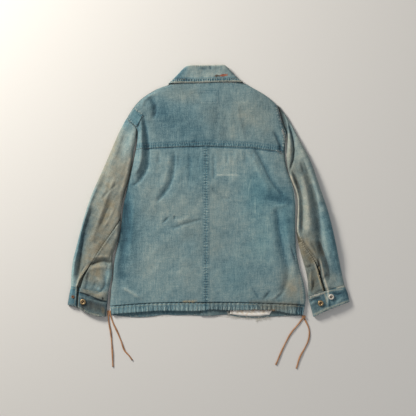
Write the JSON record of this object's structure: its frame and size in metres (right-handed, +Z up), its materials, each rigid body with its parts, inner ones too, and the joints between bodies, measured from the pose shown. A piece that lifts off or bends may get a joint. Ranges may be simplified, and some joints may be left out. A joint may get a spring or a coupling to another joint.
{
  "type": "laid-out denim work jacket",
  "caption": "Faded, worn denim work jacket laid flat with its back up: collar, yoke, centre-seamed back, gathered hem casing with leather laces, crumpled sleeves and buttoned cuffs.",
  "frame": {"origin": "middle of the jacket's footprint, at the level of the surface it lies on; the laces lie past the footprint", "axes": "+X towards the wearer's right sleeve, +Y towards the collar, +Z up, out of the back"},
  "size_m": [0.8454, 0.9109, 0.0204],
  "materials": {
    "denim": "sun-faded indigo twill, matt",
    "denim_pale": "palest faded twill with a grey-beige cast, matt",
    "denim_blue": "less faded twill, matt",
    "denim_dirty": "soiled grey-beige twill, matt",
    "cotton": "plain white cotton, matt",
    "leather": "worn tan-brown lace",
    "brass": "worn gold-coloured metal",
    "rusted_steel": "rusted tack back",
    "white_metal": "pale worn metal"
  },
  "bodies": {
    "root": {"collar": "denim_pale", "back_yoke": "denim_pale", "back_left": "denim", "back_right": "denim", "left_shoulder_patch": "denim_blue", "back_hem_left": "denim", "back_hem_right": "denim", "back_hem_corner": "denim_blue", "front_left": "denim", "front_right": "denim", "front_hem_left": "denim", "front_hem_right": "denim", "hem_patch": "cotton", "left_sleeve_upper": "denim_pale", "left_sleeve_under": "denim_dirty", "right_sleeve_upper": "denim_pale", "right_sleeve_under": "denim_dirty", "left_cuff": "denim_blue", "right_cuff": "denim_blue", "left_cuff_button": "brass", "left_cuff_tack": "rusted_steel", "right_cuff_button_outer": "white_metal", "right_cuff_button_inner": "brass", "front_button_1": "brass", "front_button_2": "brass", "front_button_3": "brass", "front_button_4": "brass", "front_button_5": "brass", "left_lace_outer": "leather", "left_lace_inner": "leather", "right_lace_inner": "leather", "right_lace_outer": "leather", "right_lace_knot": "leather"}
  },
  "joints": []
}
